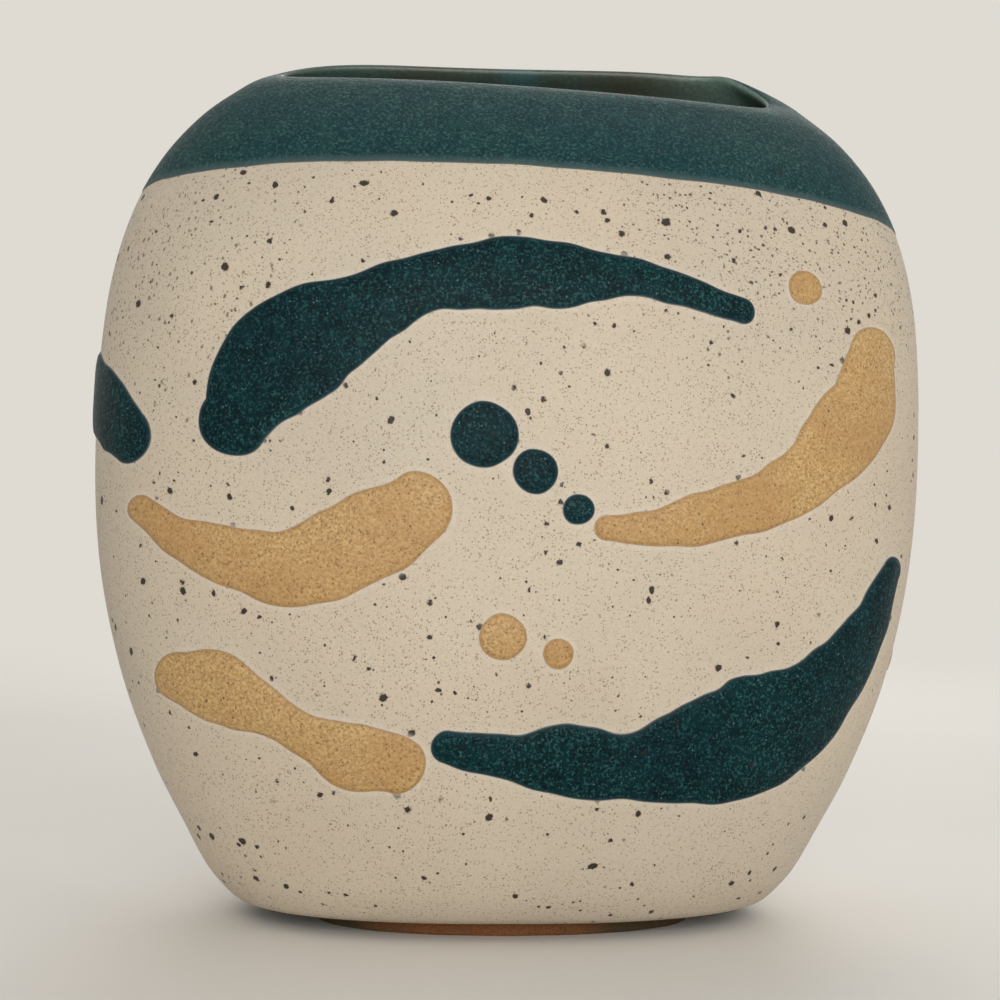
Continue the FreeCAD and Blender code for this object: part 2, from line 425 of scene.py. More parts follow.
class NodeSketch:
    """Adds and joins nodes in one node tree."""

    def __init__(self, tree: bpy.types.NodeTree) -> None:
        """Takes the tree to draw in."""
        self.tree = tree

    def add(self, kind: str, inputs: dict | None = None, **settings: object) -> Node:
        """Adds a node.

        Args:
            kind: Node type without its ShaderNode prefix.
            inputs: Values or outputs for its inputs, by name or number.
            settings: Properties to set on it.

        Returns:
            The new node.
        """
        node = self.tree.nodes.new("ShaderNode" + kind)
        for key, value in settings.items():
            setattr(node, key, value)
        for key, value in (inputs or {}).items():
            self.feed(node.inputs[key], value)
        return node

    def feed(self, socket: Socket, value: object) -> None:
        """Feeds an input.

        Args:
            socket: The input.
            value: Output to link to it, or plain value.
        """
        if isinstance(value, Socket):
            self.tree.links.new(value, socket)
        else:
            socket.default_value = value

    def math(self, operation: str, *values: object, clamp: bool = False) -> Socket:
        """Result of a sum on up to three numbers."""
        return self.add("Math", dict(enumerate(values)), operation=operation, use_clamp=clamp).outputs[0]

    def ramp(self, value: object, low: float, high: float, start: float = 0.0, end: float = 1.0) -> Socket:
        """Smooth step of a number from one range to another."""
        inputs = {0: value, 1: low, 2: high, 3: start, 4: end}
        return self.add("MapRange", inputs, interpolation_type="SMOOTHSTEP", clamp=True).outputs[0]

    def mix(self, share: object, first: object, second: object) -> Socket:
        """Colour between two colours."""
        inputs = {0: share, 6: first, 7: second}
        return self.add("Mix", inputs, data_type="RGBA", blend_type="MIX", clamp_factor=True).outputs[2]

    def noise(self, vector: object, scale: object, detail: float = 2.0, roughness: float = 0.5) -> Socket:
        """Value of a cloud of noise."""
        inputs = {"Vector": vector, "Scale": scale, "Detail": detail, "Roughness": roughness}
        return self.add("TexNoise", inputs).outputs[0]

    def place(self, shift: Triple = (0, 0, 0), stretch: Triple = (1, 1, 1)) -> Socket:
        """The piece's own coordinates, shifted and stretched."""
        source = self.add("TexCoord").outputs["Object"]
        return self.add("Mapping", {"Vector": source, "Location": shift, "Scale": stretch}).outputs[0]

    def stored(self, name: str) -> Socket:
        """Number that the piece stores for each point."""
        return self.add("Attribute", attribute_name=name).outputs["Fac"]


class SharedEffects:
    """Effects that several glazes use, each one shader node group."""

    def __init__(self) -> None:
        """Builds the groups."""
        self.specks = self._specks()
        self.peel = self._peel()
        self.mottle = self._mottle()

    @staticmethod
    def _new(name: str, inputs: dict[str, float], outputs: tuple[str, ...]) -> tuple[NodeSketch, Node, Node]:
        """Starts a group that reads a vector and numbers.

        Args:
            name: Name of the group.
            inputs: Default of each number that it takes.
            outputs: Names of the numbers that it puts out.

        Returns:
            The sketch of its tree, its input node and its output node.
        """
        tree = bpy.data.node_groups.new(name, "ShaderNodeTree")
        tree.interface.new_socket("Vector", in_out="INPUT", socket_type="NodeSocketVector")
        for key, value in inputs.items():
            tree.interface.new_socket(key, in_out="INPUT", socket_type="NodeSocketFloat").default_value = value
        for key in outputs:
            tree.interface.new_socket(key, in_out="OUTPUT", socket_type="NodeSocketFloat")
        return NodeSketch(tree), tree.nodes.new("NodeGroupInput"), tree.nodes.new("NodeGroupOutput")

    def _specks(self) -> bpy.types.NodeTree:
        """Scattered spots: each cell of a drifting net may hold one, of its own size.

        Returns:
            The group.
        """
        inputs = {"Scale": 500.0, "Share": 0.3, "Size": 0.3, "Soft": 0.15, "Ragged": 0.1}
        sketch, given, result = self._new("fired specks", inputs, ("Mask",))
        source = given.outputs["Vector"]
        drift = sketch.add("TexNoise", {"Vector": source, "Scale": 70.0, "Detail": 1.0}).outputs["Color"]
        drift = sketch.add("VectorMath", {0: drift, 1: (0.5, 0.5, 0.5)}, operation="SUBTRACT").outputs[0]
        drift = sketch.add("VectorMath", {0: drift, "Scale": 0.005}, operation="SCALE").outputs[0]
        moved = sketch.add("VectorMath", {0: source, 1: drift}, operation="ADD").outputs[0]
        cell = sketch.add("TexVoronoi", {"Vector": moved, "Scale": given.outputs["Scale"]})
        chance = sketch.add("SeparateColor", {0: cell.outputs["Color"]})
        kept = sketch.math("LESS_THAN", chance.outputs[0], given.outputs["Share"])
        own_size = sketch.math("MULTIPLY_ADD", chance.outputs[1], 0.75, 0.35)
        reach = sketch.math("MULTIPLY", given.outputs["Size"], own_size)
        rough = sketch.math("SUBTRACT", sketch.noise(source, 1700.0, 1.0), 0.5)
        rough = sketch.math("MULTIPLY", rough, given.outputs["Ragged"])
        distance = sketch.math("ADD", cell.outputs["Distance"], rough)
        edge = sketch.math("DIVIDE", sketch.math("SUBTRACT", reach, distance), given.outputs["Soft"], clamp=True)
        sketch.feed(result.inputs["Mask"], sketch.math("MULTIPLY", edge, kept))
        return sketch.tree

    def _peel(self) -> bpy.types.NodeTree:
        """Height of a satin glaze: fine orange peel with a few pits.

        Returns:
            The group.
        """
        sketch, given, result = self._new("orange peel", {"Scale": 600.0, "Pits": 0.4}, ("Height",))
        source, scale = given.outputs["Vector"], given.outputs["Scale"]
        fine = sketch.noise(source, scale, 3.0)
        coarse = sketch.noise(source, sketch.math("MULTIPLY", scale, 0.18), 2.0)
        pit = sketch.add("TexVoronoi", {"Vector": source, "Scale": scale})
        hole = sketch.math("MULTIPLY", sketch.ramp(pit.outputs["Distance"], 0.0, 0.32, 1.0, 0.0), given.outputs["Pits"])
        height = sketch.math("ADD", fine, sketch.math("MULTIPLY", coarse, 1.5))
        sketch.feed(result.inputs["Height"], sketch.math("SUBTRACT", height, hole))
        return sketch.tree

    def _mottle(self) -> bpy.types.NodeTree:
        """Granular and cloudy variation of a glaze.

        Returns:
            The group.
        """
        sketch, given, result = self._new("glaze mottle", {"Grain": 1500.0, "Cloud": 60.0}, ("Grain", "Cloud"))
        source = given.outputs["Vector"]
        for key, detail, roughness, low, high in (("Grain", 3.0, 0.65, 0.32, 0.68), ("Cloud", 4.0, 0.6, 0.35, 0.65)):
            value = sketch.noise(source, given.outputs[key], detail, roughness)
            sketch.feed(result.inputs[key], sketch.ramp(value, low, high))
        return sketch.tree


# ---- finishes ----


class Spread(Enum):
    """Where a layer of spots lies on the cream."""

    CROWDED = "everywhere, in thicker and thinner patches"
    GATHERED = "in loose gatherings"
    LEFT = "fringe of the left shoulder"
    RIGHT = "field of the right shoulder"
    SHOULDERS = "both shoulders"


@dataclass(frozen=True)
class Scatter:
    """One layer of spots: its paint, how much they cover, and the values of the shared spots."""

    paint: Colour
    cover: float
    scale: float
    share: float | Spread
    size: float
    soft: float
    ragged: float = 0.1
    shift: Triple = (0, 0, 0)
    squeeze: float = 1.0


@dataclass(frozen=True)
class Finish:
    """What every finish has: its gloss, and the scales of its mottle, peel and relief."""

    effects: SharedEffects
    name: str = "finish"
    roughness: float = 0.5
    specular: float = 0.5
    grain: float = 1500.0
    cloud: float = 45.0
    peel: float = 800.0
    pits: float = 0.4
    relief: float = 0.5
    depth: float = 0.2 * MM

    def paint(self, sketch: NodeSketch, shader: Node, mottle: Node) -> Socket:
        """Paints the finish.

        Args:
            sketch: Sketch of the material's tree.
            shader: Its shader, for a roughness that varies.
            mottle: The shared mottle at this finish's scales.

        Returns:
            The colour.
        """
        raise NotImplementedError

    def make(self) -> Material:
        """Builds the material.

        Returns:
            The material.
        """
        material = bpy.data.materials.new(self.name)
        material.use_nodes = True
        sketch = NodeSketch(material.node_tree)
        shader = material.node_tree.nodes["Principled BSDF"]
        shader.inputs["Roughness"].default_value = self.roughness
        shader.inputs["Specular IOR Level"].default_value = self.specular
        place = sketch.place()
        values = {"Vector": place, "Grain": self.grain, "Cloud": self.cloud}
        mottle = sketch.add("Group", values, node_tree=self.effects.mottle)
        sketch.feed(shader.inputs["Base Color"], self.paint(sketch, shader, mottle))
        values = {"Vector": place, "Scale": self.peel, "Pits": self.pits}
        height = sketch.add("Group", values, node_tree=self.effects.peel).outputs["Height"]
        bump = sketch.add("Bump", {"Height": height, "Strength": self.relief, "Distance": self.depth})
        sketch.feed(shader.inputs["Normal"], bump.outputs[0])
        return material

    def scatter(self, sketch: NodeSketch, colour: object, layer: Scatter, share: object = None) -> Socket:
        """Lays one scatter of spots over a colour.

        Args:
            sketch: Sketch of the material's tree.
            colour: Colour beneath.
            layer: The spots.
            share: Share of the cells that hold one, where it isn't the layer's own number.

        Returns:
            The colour with the spots.
        """
        values = {
            "Vector": sketch.place(layer.shift, (1, 1, layer.squeeze)), "Scale": layer.scale,
            "Share": layer.share if share is None else share, "Size": layer.size, "Soft": layer.soft,
            "Ragged": layer.ragged,
        }
        mask = sketch.add("Group", values, node_tree=self.effects.specks).outputs["Mask"]
        return sketch.mix(sketch.math("MULTIPLY", mask, layer.cover), colour, layer.paint)


@dataclass(frozen=True)
class CreamGlaze(Finish):
    """Satin cream full of fine iron specks, with dots where the shoulders were sprayed."""

    name: str = "cream glaze"
    specular: float = 0.3
    grain: float = 2400.0
    cloud: float = 30.0
    peel: float = 900.0
    pits: float = 0.5
    relief: float = 0.4
    depth: float = 0.12 * MM
    rough_range: tuple[float, float] = (0.46, 0.56)
    cream: Colour = linear(206, 194, 174)
    warm: Colour = linear(206, 191, 171)
    cool: Colour = linear(194, 184, 167)
    pepper: Colour = linear(128, 110, 88)
    spray: Colour = linear(90, 81, 69)
    iron: Colour = linear(42, 34, 28)
    brown: Colour = linear(120, 96, 72)
    halo: Colour = linear(214, 204, 190)
    layers: tuple[Scatter, ...] = (
        Scatter(pepper, 0.62, 1800.0, Spread.CROWDED, 0.46, 0.18, 0.12),
        Scatter(pepper, 0.78, 1250.0, Spread.CROWDED, 0.29, 0.12, 0.14, (1, 4, 2)),
        Scatter(brown, 0.85, 620.0, 0.4, 0.16, 0.06, 0.08, (7, 1, 3)),
        Scatter(spray, 0.8, 820.0, Spread.LEFT, 0.36, 0.18, 0.12, squeeze=0.75),
        Scatter(spray, 0.9, 820.0, Spread.RIGHT, 0.36, 0.19, 0.14, (2, 9, 4)),
        Scatter(iron, 0.88, 560.0, Spread.SHOULDERS, 0.25, 0.08, 0.14, (6, 5, 1)),
        Scatter(iron, 0.92, 520.0, Spread.GATHERED, 0.2, 0.05, 0.12, (1, 2, 3)),
        Scatter(brown, 0.55, 300.0, Spread.GATHERED, 0.33, 0.1, 0.17),
        Scatter(iron, 0.97, 300.0, Spread.GATHERED, 0.27, 0.04, 0.22),
    )

    def shares(self, sketch: NodeSketch) -> dict[Spread, Socket]:
        """How thickly each spread of spots lies.

        Args:
            sketch: Sketch of the material's tree.

        Returns:
            Share of the cells that hold a spot, for each spread.
        """
        crowd = sketch.ramp(sketch.noise(sketch.place((5, 2, 7)), 70.0, 3.0, 0.6), 0.3, 0.7)
        gather = sketch.ramp(sketch.noise(sketch.place((8, 3, 5)), 38.0, 2.0), 0.4, 0.6)
        patches = sketch.ramp(sketch.noise(sketch.place((3, 1, 2)), 55.0, 3.0, 0.6), 0.32, 0.62)
        patches = sketch.math("MULTIPLY_ADD", patches, 0.5, 0.5)
        axes = sketch.add("SeparateXYZ", {0: sketch.place()})
        x, z = axes.outputs[0], axes.outputs[2]
        left = sketch.math("MULTIPLY", sketch.ramp(x, -0.086, -0.044, 1.0, 0.0), sketch.ramp(z, 0.105, 0.145))
        right = sketch.math("MULTIPLY", sketch.ramp(x, 0.004, 0.046), sketch.ramp(z, 0.122, 0.152))
        left, right = (sketch.math("MULTIPLY", side, patches) for side in (left, right))
        both = sketch.math("MAXIMUM", sketch.math("MULTIPLY", left, 0.25), sketch.math("MULTIPLY", right, 0.8))
        return {
            Spread.CROWDED: sketch.math("MULTIPLY_ADD", crowd, 0.35, 0.45),
            Spread.GATHERED: sketch.math("MULTIPLY_ADD", gather, 0.26, 0.1),
            Spread.LEFT: left, Spread.RIGHT: right, Spread.SHOULDERS: both,
        }

    def paint(self, sketch: NodeSketch, shader: Node, mottle: Node) -> Socket:
        """Lays the spots over a clouded cream, which pales beside the marks.

        Args:
            sketch: Sketch of the material's tree.
            shader: Its shader.
            mottle: The shared mottle.

        Returns:
            The colour.
        """
        broad = sketch.ramp(sketch.noise(sketch.place(), 16.0, 3.0), 0.35, 0.65)
        grain = mottle.outputs["Grain"]
        colour = sketch.mix(mottle.outputs["Cloud"], self.cream, self.warm)
        colour = sketch.mix(sketch.math("MULTIPLY", broad, 0.6), colour, self.cool)
        colour = sketch.mix(sketch.math("MULTIPLY", grain, 0.16), colour, self.pepper)
        shares = self.shares(sketch)
        for layer in self.layers:
            colour = self.scatter(sketch, colour, layer, shares.get(layer.share))
        sketch.feed(shader.inputs["Roughness"], sketch.ramp(grain, 0.0, 1.0, *self.rough_range))
        return sketch.mix(sketch.ramp(sketch.stored("near_mark"), 0.0, 1.6, 0.55, 0.0), colour, self.halo)


@dataclass(frozen=True)
class TealGlaze(Finish):
    """Granular satin teal of the poured marks."""

    name: str = "poured teal glaze"
    roughness: float = 0.46
    specular: float = 0.08
    cloud: float = 34.0
    relief: float = 0.75
    depth: float = 0.28 * MM
    body: Colour = linear(3, 39, 45)
    deep: Colour = linear(0, 14, 20)
    light: Colour = linear(50, 98, 100)
    green: Colour = linear(4, 43, 46)
    slate: Colour = linear(30, 56, 64)
    film: Colour = linear(112, 114, 112)
    # Colour of the painted glints: light specks that stand for highlights on the granular glaze.
    spark: Colour = linear(104, 140, 142)
    iron: Colour = linear(46, 34, 30)
    slate_width: float = 1.1
    grain_level: float = 0.6
    spark_level: float = 0.5
    gloss_step: float = 0.08

    def paint(self, sketch: NodeSketch, shader: Node, mottle: Node) -> Socket:
        """Breaks the teal into grains, painted glints and iron, and thins it to slate at its edge.

        Args:
            sketch: Sketch of the material's tree.
            shader: Its shader.
            mottle: The shared mottle.

        Returns:
            The colour.
        """
        place, cloud = sketch.place(), mottle.outputs["Cloud"]
        patch = sketch.ramp(sketch.noise(sketch.place((4, 1, 6)), 190.0, 4.0, 0.7), 0.36, 0.62)
        dark = sketch.ramp(sketch.noise(sketch.place((9, 2, 1)), self.grain * 0.8, 2.0, 0.7), 0.5, 0.64)
        grains = sketch.ramp(sketch.noise(place, self.grain, 2.0, 0.75), 0.5, 0.66)
        level = sketch.math("MULTIPLY_ADD", cloud, 0.4 * self.grain_level, 0.7 * self.grain_level)
        colour = sketch.mix(cloud, self.body, self.green)
        colour = sketch.mix(sketch.math("MULTIPLY", patch, 0.6), colour, self.deep)
        colour = sketch.mix(sketch.math("MULTIPLY", dark, 0.7), colour, self.deep)
        colour = sketch.mix(sketch.math("MULTIPLY", grains, level), colour, self.light)
        # Painted highlight: scattered light specks as glints on the glaze.
        colour = self.scatter(sketch, colour, Scatter(self.spark, self.spark_level, 1250.0, 0.24, 0.3, 0.14, 0.14))
        colour = self.scatter(sketch, colour, Scatter(self.iron, 0.7, 260.0, 0.07, 0.2, 0.08, 0.15))
        distance = sketch.stored("edge")
        uneven = sketch.math("MULTIPLY", sketch.math("SUBTRACT", sketch.noise(place, 600.0, 3.0), 0.5), 0.9)
        fringe = sketch.ramp(sketch.math("ADD", distance, uneven), 0.2, self.slate_width, 0.75, 0.0)
        gloss = sketch.ramp(grains, 0.0, 1.0, self.roughness, self.roughness - self.gloss_step)
        sketch.feed(shader.inputs["Roughness"], gloss)
        colour = sketch.mix(fringe, colour, self.slate)
        return sketch.mix(sketch.ramp(distance, 0.08, 0.3, 0.7, 0.0), colour, self.film)


@dataclass(frozen=True)
class CollarGlaze(TealGlaze):
    """The finer teal of the dipped collar, lighter than the poured teal: painted light for the grazing light and sheen
    on the shoulder.
    """

    name: str = "collar glaze"
    roughness: float = 0.5
    grain: float = 1450.0
    # Lighter copies of the poured teal's colours: painted light on the collar.
    body: Colour = linear(23, 59, 64)
    deep: Colour = linear(14, 43, 50)
    light: Colour = linear(62, 98, 96)
    green: Colour = linear(30, 63, 61)
    slate: Colour = linear(74, 92, 94)
    slate_width: float = 2.4
    grain_level: float = 0.85
    # Share of the painted glints on the collar.
    spark_level: float = 0.2


@dataclass(frozen=True)
class OchreGlaze(Finish):
    """Granular sandy ochre peppered with brown."""

    name: str = "ochre glaze"
    specular: float = 0.28
    pits: float = 0.6
    relief: float = 0.45
    depth: float = 0.16 * MM
    body: Colour = linear(166, 131, 82)
    light: Colour = linear(204, 172, 120)
    dark: Colour = linear(118, 88, 53)
    iron: Colour = linear(78, 58, 38)
    warm: Colour = linear(172, 130, 82)
    pale: Colour = linear(166, 142, 110)
    layers: tuple[Scatter, ...] = (
        Scatter(dark, 0.62, 1600.0, 0.8, 0.48, 0.24), Scatter(dark, 0.75, 1050.0, 0.65, 0.34, 0.17),
        Scatter(iron, 0.85, 520.0, 0.24, 0.2, 0.1),
    )

    def paint(self, sketch: NodeSketch, shader: Node, mottle: Node) -> Socket:
        """Peppers the ochre and lets it pale at its edge.

        Args:
            sketch: Sketch of the material's tree.
            shader: Its shader.
            mottle: The shared mottle.

        Returns:
            The colour.
        """
        colour = sketch.mix(mottle.outputs["Grain"], self.body, self.light)
        colour = sketch.mix(sketch.math("MULTIPLY", mottle.outputs["Cloud"], 0.5), colour, self.warm)
        for layer in self.layers:
            colour = self.scatter(sketch, colour, layer)
        distance = sketch.stored("edge")
        colour = sketch.mix(sketch.ramp(distance, 0.3, 1.0, 0.22, 0.0), colour, self.dark)
        return sketch.mix(sketch.ramp(distance, 0.1, 0.4, 0.6, 0.0), colour, self.pale)


@dataclass(frozen=True)
class InnerGlaze(Finish):
    """Dark brown-green glaze of the inside, with teal where the collar's dip ran in."""

    name: str = "inner glaze"
    roughness: float = 0.34
    grain: float = 1100.0
    peel: float = 500.0
    brown: Colour = linear(72, 76, 64)
    green: Colour = linear(62, 88, 80)
    teal: Colour = linear(62, 104, 104)
    grey: Colour = linear(100, 124, 114)
    dark: Colour = linear(40, 48, 42)
    run: tuple[float, float] = (-6 * MM, 7 * MM)
    run_soft: float = 4 * MM

    def paint(self, sketch: NodeSketch, shader: Node, mottle: Node) -> Socket:
        """Lets a run of teal and a grey end show in the brown-green.

        Args:
            sketch: Sketch of the material's tree.
            shader: Its shader.
            mottle: The shared mottle.

        Returns:
            The colour.
        """
        x = sketch.add("SeparateXYZ", {0: sketch.place()}).outputs[0]
        rise = sketch.math("DIVIDE", sketch.math("SUBTRACT", x, self.run[0]), self.run_soft, clamp=True)
        fall = sketch.math("DIVIDE", sketch.math("SUBTRACT", self.run[1], x), self.run_soft, clamp=True)
        run = sketch.math("MULTIPLY", rise, fall)
        colour = sketch.mix(mottle.outputs["Cloud"], self.brown, self.green)
        colour = sketch.mix(sketch.math("MULTIPLY", run, 0.75), colour, self.teal)
        colour = sketch.mix(sketch.ramp(x, 0.028, 0.056, 0.0, 0.9), colour, self.grey)
        return sketch.mix(sketch.math("MULTIPLY", mottle.outputs["Grain"], 0.4), colour, self.dark)


@dataclass(frozen=True)
class BareClay(Finish):
    """Unglazed stoneware, toasted orange, with painted shade that darkens it to olive-brown towards its ends."""

    name: str = "bare clay"
    roughness: float = 0.85
    specular: float = 0.25
    grain: float = 1800.0
    cloud: float = 50.0
    peel: float = 1400.0
    pits: float = 1.0
    relief: float = 0.8
    depth: float = 0.3 * MM
    toast: Colour = linear(112, 66, 34)
    sand: Colour = linear(128, 88, 54)
    # Olive-brown of the painted shade at the foot's ends, where shade falls in the gap under the pot.
    scorch: Colour = linear(70, 56, 36)

    def paint(self, sketch: NodeSketch, shader: Node, mottle: Node) -> Socket:
        """Darkens the sandy clay towards both ends with painted shade, clouded by the mottle.

        Args:
            sketch: Sketch of the material's tree.
            shader: Its shader.
            mottle: The shared mottle.

        Returns:
            The colour.
        """
        x = sketch.add("SeparateXYZ", {0: sketch.place()}).outputs[0]
        # Painted shade: the foot darkens towards both ends, mixed with cloudy mottle.
        ends = sketch.ramp(sketch.math("ABSOLUTE", sketch.math("ADD", x, 0.006)), 0.016, 0.034)
        cloudy = sketch.math("ADD", ends, sketch.math("MULTIPLY", mottle.outputs["Cloud"], 0.4))
        colour = sketch.mix(mottle.outputs["Grain"], self.toast, self.sand)
        return sketch.mix(sketch.math("MULTIPLY", cloudy, 0.8, clamp=True), colour, self.scorch)


# ---- sub-assemblies ----


@dataclass
class ClayBody:
    """The clay walls and floor that the frame keeps, and the foot that shows."""

    form: PotForm
    clay: Material
    foot_half_width: float = 47 * MM
    foot_half_depth: float = 28 * MM
    edge: float = 0.8 * MM
    edge_steps: int = 6
    unevenness: float = 0.12 * MM
    smooth_angle: float = 40
    round_count: int = 192
    kept: tuple[str, ...] = ("front_wall", "back_wall", "floor_slab")

    def dress_frame(self) -> None:
        """Gives the carried-over clay solids their finish."""
        for name in self.kept:
            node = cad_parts[name]
            node.data.materials.clear()
            node.data.materials.append(self.clay)
            log.info("%s: carried over", name)

    def build_foot(self) -> None:
        """Models the low foot pad with a rounded lower edge and closed ends."""
        rounds = [math.pi / 2 * step / self.edge_steps for step in range(1, self.edge_steps + 1)]
        top = self.form.foot_height
        rows = [(share, self.edge, 0.0) for share in (0.4, 0.9, 1.0)]
        rows += [(1.0, self.edge * (1 - math.sin(turn)), self.edge * (1 - math.cos(turn))) for turn in rounds]
        rows += [(1.0, 0.0, top), (0.6, 0.0, top)]

        def place(angle: Array, ring: Array) -> Array:
            """Points of the foot.

            Args:
                angle: Plan angles.
                ring: Ring numbers.

            Returns:
                One row of x, y and z for each.
            """
            share, inset, level = np.array(rows)[ring.astype(int)].T
            across, along = self.form.plan(angle)
            rough = waves(angle, ((7, 0, self.unevenness), (19, 1, 0.6 * self.unevenness))) - 0.2 * MM
            wide = (self.foot_half_width - inset + rough) * share
            deep = (self.foot_half_depth - inset + rough) * share
            return np.stack([wide * across, deep * along, level], -1)

        foot = new_tube("foot", self.round_count, len(rows), place)
        with editing(foot, "DESELECT"):
            bpy.ops.mesh.select_non_manifold()
            bpy.ops.mesh.edge_face_add()
        face_out(foot)
        bpy.ops.object.shade_smooth_by_angle(angle=math.radians(self.smooth_angle))
        seat(foot, self.clay, "clay", "foot_pad")


@dataclass
class GlazedBody:
    """The three coats: speckled cream outside, the dipped collar over the lip, and the inside."""

    form: PotForm
    cream: Material
    collar: Material
    inner: Material
    round_count: int = 256
    cream_rings: int = 132
    collar_rings: int = 52
    lip_rings: int = 14
    inner_rings: int = 70
    floor_rings: int = 16
    coat: float = 0.62 * MM
    overlap: float = 1.5 * MM
    ripple: float = 0.1 * MM
    collar_bead: float = 0.22 * MM
    under_roll: float = 0.9 * MM
    bead_width: float = 0.9 * MM
    cream_crowding: float = 1.15
    collar_crowding: float = 1.25
    line_rounds: int = 4
    collar_turn: float = 100
    inner_turns: tuple[float, float] = (96, 84)
    floor_reach: float = 0.98
    far: float = 30.0

    def line(self, angle: Array) -> Array:
        """The collar's edge, a little wavy as the dip left it.

        Args:
            angle: Plan angles.

        Returns:
            Its height at each angle.
        """
        z = np.full_like(angle, self.form.height - self.form.collar_height)
        for _ in range(self.line_rounds):
            z = self.form.collar_line(self.form.outside(angle, z)[:, 0])
        return z + self.ripple * waves(angle, ((11, 0.4, 1.0), (23, 2.0, 0.7), (41, 0, 0.5)))

    def build_cream(self) -> Piece:
        """Models the cream coat from the underside up to just under the collar.

        Returns:
            The coat.
        """
        low = self.form.foot_height

        def place(angle: Array, ring: Array) -> Array:
            """Points of the coat, whose rings lie closer near the underside.

            Args:
                angle: Plan angles.
                ring: Ring numbers.

            Returns:
                One row of x, y and z for each.
            """
            share = (ring / (self.cream_rings - 1)) ** self.cream_crowding
            z = low + share * (self.line(angle) + self.overlap - low)
            roll = self.under_roll * np.clip(1 - (z - low) / (2 * self.under_roll), 0, 1) ** 2
            return self.form.outside(angle, z, self.form.wobble(angle, z) - roll)

        coat = new_tube("cream_glaze", self.round_count, self.cream_rings, place)
        thicken(coat, self.coat)
        return coat

    def build_collar(self) -> Piece:
        """Models the collar from its wavy edge over the crest of the lip.

        Returns:
            The collar.
        """
        climb: list[Array] = []

        def place(angle: Array, ring: Array) -> Array:
            """Points of the collar, with their rise above its edge kept in climb.

            Args:
                angle: Plan angles.
                ring: Ring numbers.

            Returns:
                One row of x, y and z for each.
            """
            start = self.line(angle)
            end = self.form.shoulder + self.form.slant(angle)
            share = np.clip(ring / (self.collar_rings - 1), 0, 1) ** self.collar_crowding
            z = start + share * (end - start)
            rise = np.clip((z - start) / self.bead_width, 0, 1)
            bead = self.collar_bead * np.sqrt(1 - (1 - rise) ** 2)
            points = self.form.outside(angle, z, (self.form.wobble(angle, z) + bead) * (1 - share))
            turn = np.clip((ring - self.collar_rings + 1) / self.lip_rings, 0, 1) * math.radians(self.collar_turn)
            over = ring > self.collar_rings - 1
            points[over] = self.form.lip(angle, turn, self.form.coat)[over]
            climb.append((z - start) / MM)
            return points

        collar = new_tube("teal_collar_glaze", self.round_count, self.collar_rings + self.lip_rings, place)
        set_field(collar, "edge", climb[0])
        thicken(collar, self.coat)
        return collar

    def build_inner(self) -> Piece:
        """Models the glaze of the inside, from the crest down the wall and over the floor.

        Returns:
            The coat.
        """
        bottom = self.form.foot_height + self.form.floor + self.form.liner
        depth = self.form.coat + self.form.wall + self.form.liner
        first_turn, more_turn = (math.radians(value) for value in self.inner_turns)

        def place(angle: Array, ring: Array) -> Array:
            """Points of the inside.

            Args:
                angle: Plan angles.
                ring: Ring numbers.

            Returns:
                One row of x, y and z for each.
            """
            turn = first_turn + np.clip(ring / self.lip_rings, 0, 1) * more_turn
            top = self.form.shoulder + self.form.slant(angle)
            down = np.clip((ring - self.lip_rings) / (self.inner_rings - 1), 0, 1)
            wall = self.form.outside(angle, top + (bottom - top) * down, -depth)
            inwards = np.clip((ring - self.lip_rings - self.inner_rings + 1) / self.floor_rings, 0, 1)
            base = self.form.outside(angle, np.full_like(angle, bottom), -depth)
            base[:, :2] *= (1 - inwards * self.floor_reach)[:, None]
            points = np.where((ring <= self.lip_rings)[:, None], self.form.lip(angle, turn, self.form.liner), wall)
            return np.where((inwards > 0)[:, None], base, points)

        ring_count = self.lip_rings + self.inner_rings + self.floor_rings
        inner = new_tube("inner_glaze_coat", self.round_count, ring_count, place)
        points = points_of(inner)
        last_ring = np.hypot(points[:, 0], points[:, 1]) < self.form.half_width * (1 - self.floor_reach)
        last_ring &= np.abs(points[:, 2] - bottom) < 0.01 * MM
        with editing(inner, "DESELECT"):
            bpy.ops.object.mode_set(mode="OBJECT")
            inner.data.vertices.foreach_set("select", last_ring)
            bpy.ops.object.mode_set(mode="EDIT")
            bpy.ops.mesh.edge_face_add()
        thicken(inner, self.coat)
        return inner

    def build(self, mark_edges: Array) -> None:
        """Builds and dresses the coats.

        Args:
            mark_edges: Points along the outlines of all marks, which tint the cream beside them.
        """
        cream, collar, inner = self.build_cream(), self.build_collar(), self.build_inner()
        tree = KDTree(len(mark_edges))
        for index, point in enumerate(mark_edges):
            tree.insert(Vector(point), index)
        tree.balance()
        near = [min(tree.find(Vector(point))[2] / MM, self.far) for point in points_of(cream)]
        set_field(cream, "near_mark", np.array(near))
        seat(cream, self.cream, "cream_glaze", "cream_coat")
        seat(collar, self.collar, "collar_glaze", "teal_collar")
        seat(inner, self.inner, "inner_glaze", "inner_glaze")


@dataclass(frozen=True)
class Trail:
    """A poured mark: its middle line, and how far it reaches to both sides on the way.

    Stations are shares: across the half width, up the body height, and the reaches to the left
    and to the right of the way as shares of the half width.
    """

    node: str
    colour: GlazeColour
    facing: float
    stations: tuple[tuple[float, float, float, float], ...]
    relief: float = 0.9 * MM
    along_count: int = 260
    side_count: int = 28
    cap_count: int = 24


